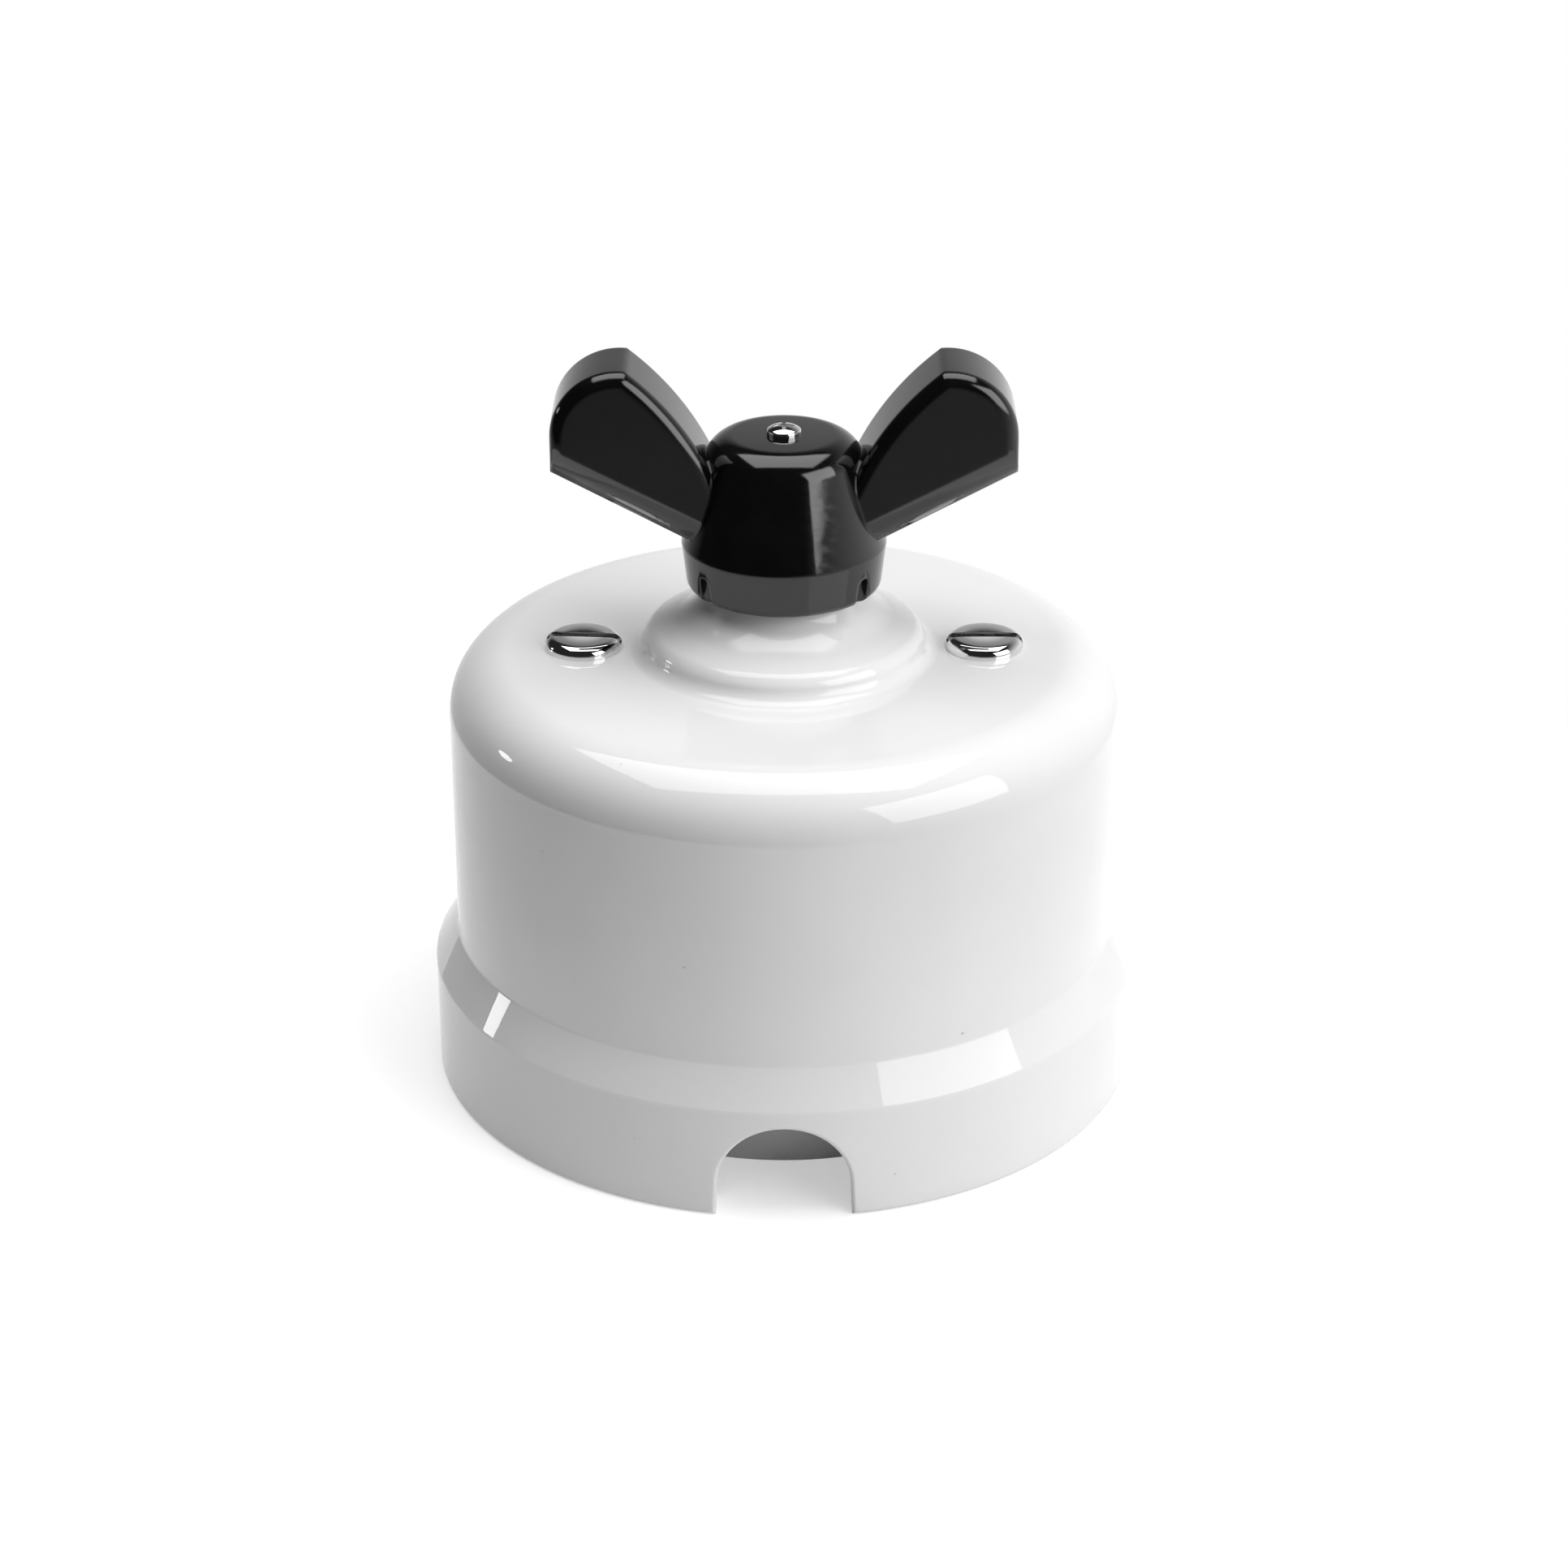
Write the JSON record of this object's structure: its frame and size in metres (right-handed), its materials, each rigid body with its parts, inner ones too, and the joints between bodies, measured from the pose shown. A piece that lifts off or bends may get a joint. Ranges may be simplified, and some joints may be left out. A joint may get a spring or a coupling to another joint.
{
  "type": "porcelain rotary switch",
  "caption": "Round surface-mounted porcelain rotary switch with a stepped skirt, a cable notch, slotted cover screws and a black winged knob on a raised collar.",
  "frame": {"origin": "centre of the face that goes against the wall", "axes": "+Z out of the wall along the knob's axis, -Y towards the cable notch, +X towards the right cover screw"},
  "size_m": [0.07, 0.07, 0.0727],
  "materials": {
    "porcelain": "glossy white glaze",
    "knob_black": "polished black moulding",
    "chrome": "polished plating",
    "brass": "turned, plain",
    "steel": "plain",
    "spring_bronze": "rolled strip",
    "drum_ceramic": "unglazed"
  },
  "bodies": {
    "base": {"bridge_plate": "steel", "clamp_screw_1": "steel", "clamp_screw_2": "steel", "clamp_screw_3": "steel", "clamp_screw_4": "steel", "contact_finger_1": "spring_bronze", "contact_finger_2": "spring_bronze", "contact_finger_3": "spring_bronze", "contact_finger_4": "spring_bronze", "cover_screw_left": "chrome", "cover_screw_right": "chrome", "detent_spring_front": "spring_bronze", "detent_spring_rear": "spring_bronze", "lower_bush": "brass", "pillar_lower_left": "brass", "pillar_lower_right": "brass", "pillar_screw_left": "steel", "pillar_screw_right": "steel", "pillar_upper_left": "brass", "pillar_upper_right": "brass", "porcelain_base": "porcelain", "porcelain_cover": "porcelain", "spring_pin_1": "steel", "spring_pin_2": "steel", "spring_pin_3": "steel", "spring_pin_4": "steel", "terminal_block_1": "brass", "terminal_block_2": "brass", "terminal_block_3": "brass", "terminal_block_4": "brass", "terminal_fixing_screw_1": "steel", "terminal_fixing_screw_2": "steel", "terminal_fixing_screw_3": "steel", "terminal_fixing_screw_4": "steel", "upper_bush": "brass"},
    "knob": {"wing_knob": "knob_black", "knob_screw": "chrome", "spindle": "brass", "retaining_ring": "steel", "thrust_washer": "steel", "contact_drum": "drum_ceramic", "index_cam": "steel", "contact_segment_front": "brass", "contact_segment_rear": "brass", "segment_screw_front": "steel", "segment_screw_rear": "steel"}
  },
  "joints": [
    {"name": "knob_turn", "type": "hinge", "parent": "base", "child": "knob", "pos_m": [0, 0, 0.06], "axis": [0, 0, 1], "continuous": true, "deforming": ["detent_spring_front", "detent_spring_rear"]}
  ]
}
